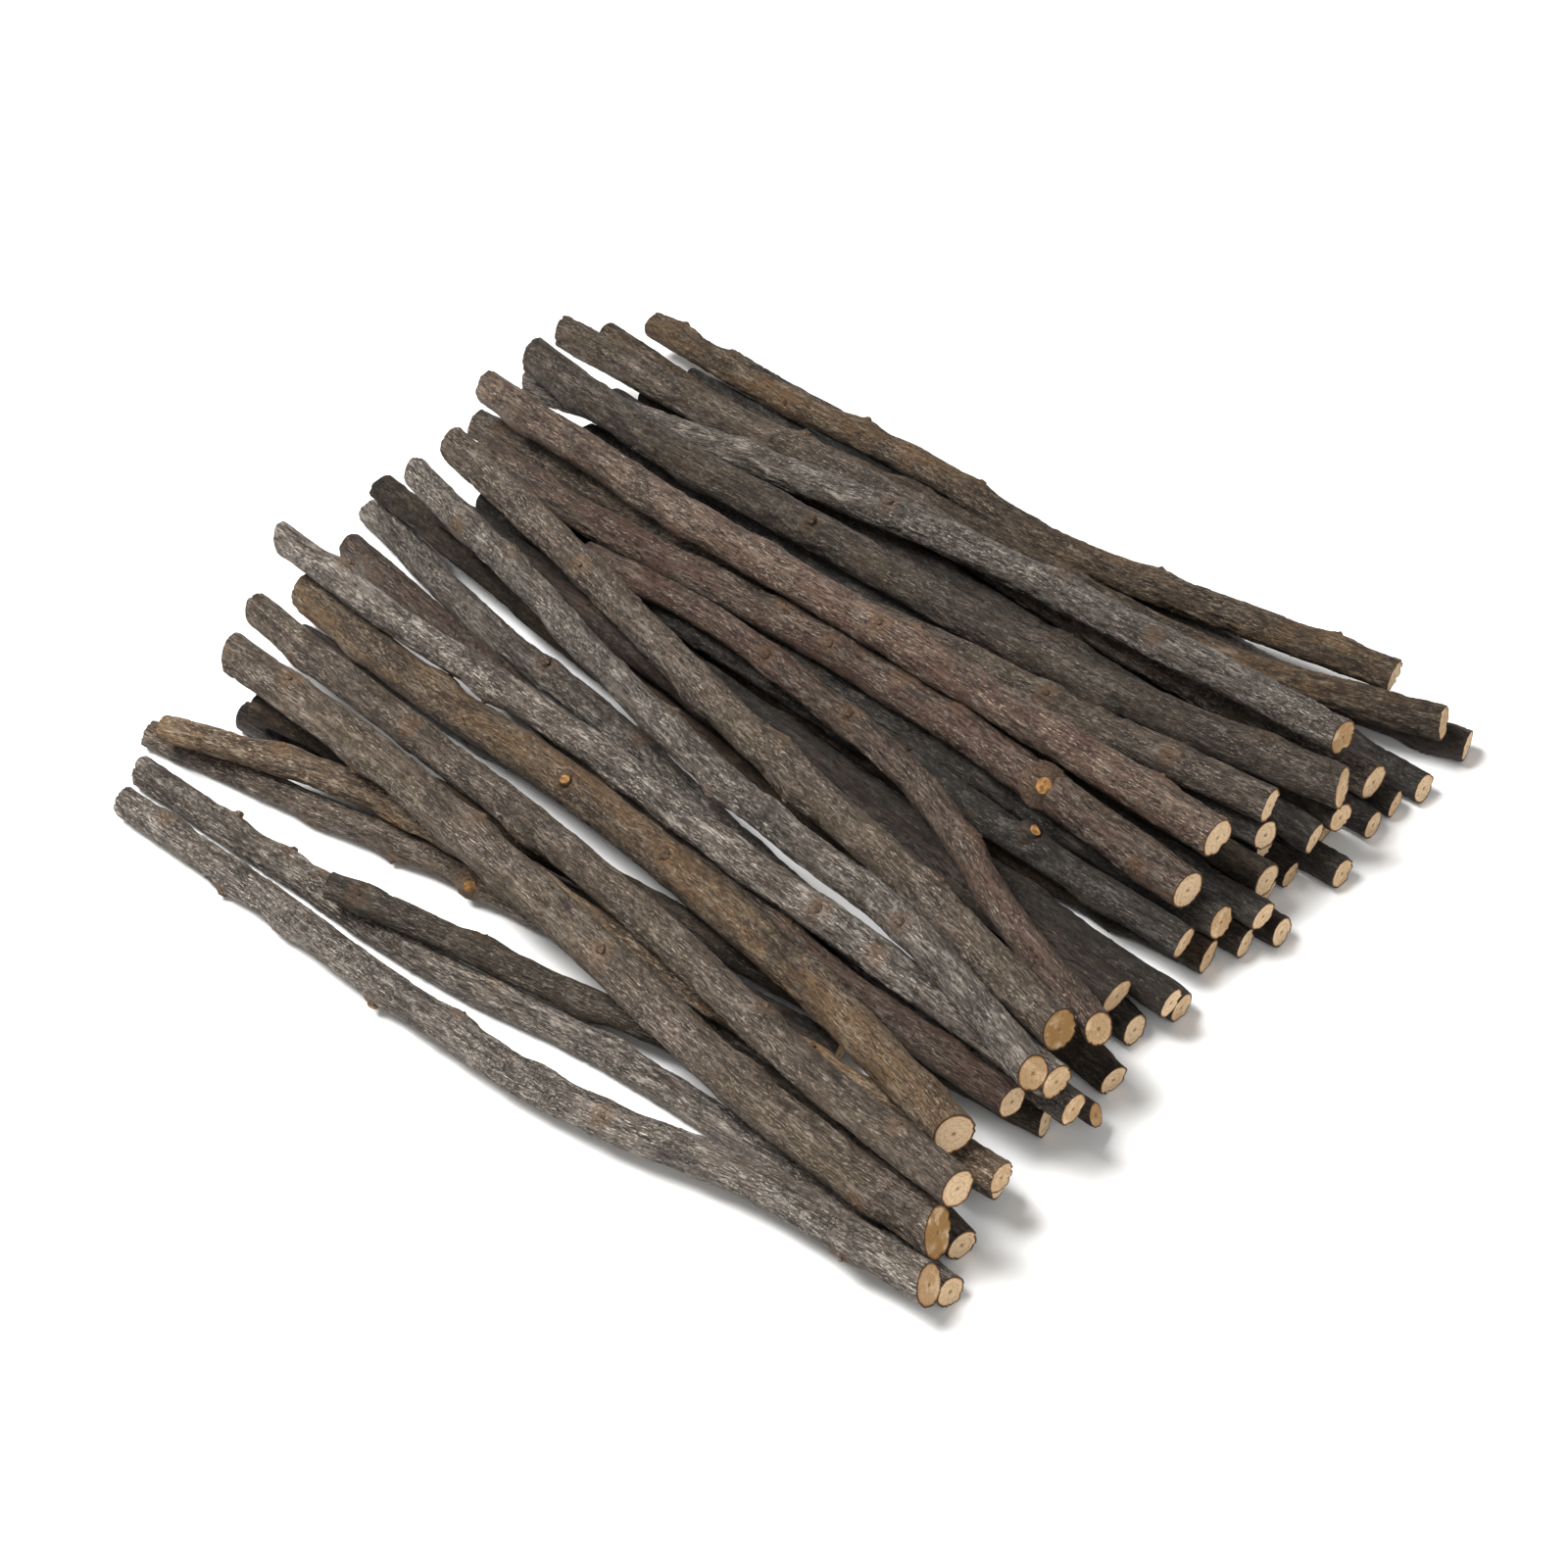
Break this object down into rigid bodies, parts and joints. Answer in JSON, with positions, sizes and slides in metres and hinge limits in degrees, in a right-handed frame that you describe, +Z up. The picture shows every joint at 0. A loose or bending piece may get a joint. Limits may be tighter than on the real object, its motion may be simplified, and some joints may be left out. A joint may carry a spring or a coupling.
{
  "type": "bundle of twigs",
  "caption": "Loose pile of straight-cut, slightly bent twigs with dry dark bark and pale sawn ends, lying roughly side by side in loose layers.",
  "frame": {"origin": "under the middle of the pile's box, on the surface it lies on", "axes": "+X along the twigs towards their thick sawn ends, +Y across the pile towards its back, +Z up"},
  "size_m": [0.2268, 0.1972, 0.0313],
  "materials": {
    "bark_grey": "dry grey flaking bark, sawn ends of pale wood",
    "bark_olive": "dry olive-brown bark, sawn ends of pale wood",
    "bark_brown": "rough brown bark with tan patches, sawn ends of pale wood",
    "bark_red": "smooth maroon-brown bark, sawn ends of pale wood"
  },
  "bodies": {
    "root": {"twig_01": "bark_grey", "twig_02": "bark_olive", "twig_03": "bark_olive", "twig_04": "bark_red", "twig_05": "bark_brown", "twig_06": "bark_red", "twig_07": "bark_grey", "twig_08": "bark_brown", "twig_09": "bark_olive", "twig_10": "bark_grey", "twig_11": "bark_brown", "twig_12": "bark_olive", "twig_13": "bark_red", "twig_14": "bark_grey", "twig_15": "bark_olive", "twig_16": "bark_grey", "twig_17": "bark_brown", "twig_18": "bark_grey", "twig_19": "bark_olive", "twig_20": "bark_grey", "twig_21": "bark_red", "twig_22": "bark_grey", "twig_23": "bark_brown", "twig_24": "bark_red", "twig_25": "bark_grey", "twig_26": "bark_brown", "twig_27": "bark_olive", "twig_28": "bark_grey", "twig_29": "bark_olive", "twig_30": "bark_grey", "twig_31": "bark_olive", "twig_32": "bark_grey", "twig_33": "bark_red", "twig_34": "bark_olive", "twig_35": "bark_brown", "twig_36": "bark_brown", "twig_37": "bark_grey", "twig_38": "bark_olive", "twig_39": "bark_olive", "twig_40": "bark_brown", "twig_41": "bark_grey", "twig_42": "bark_grey", "twig_43": "bark_red", "twig_44": "bark_olive", "twig_45": "bark_red", "twig_46": "bark_olive", "twig_47": "bark_grey", "twig_48": "bark_olive", "twig_49": "bark_red"}
  },
  "joints": []
}
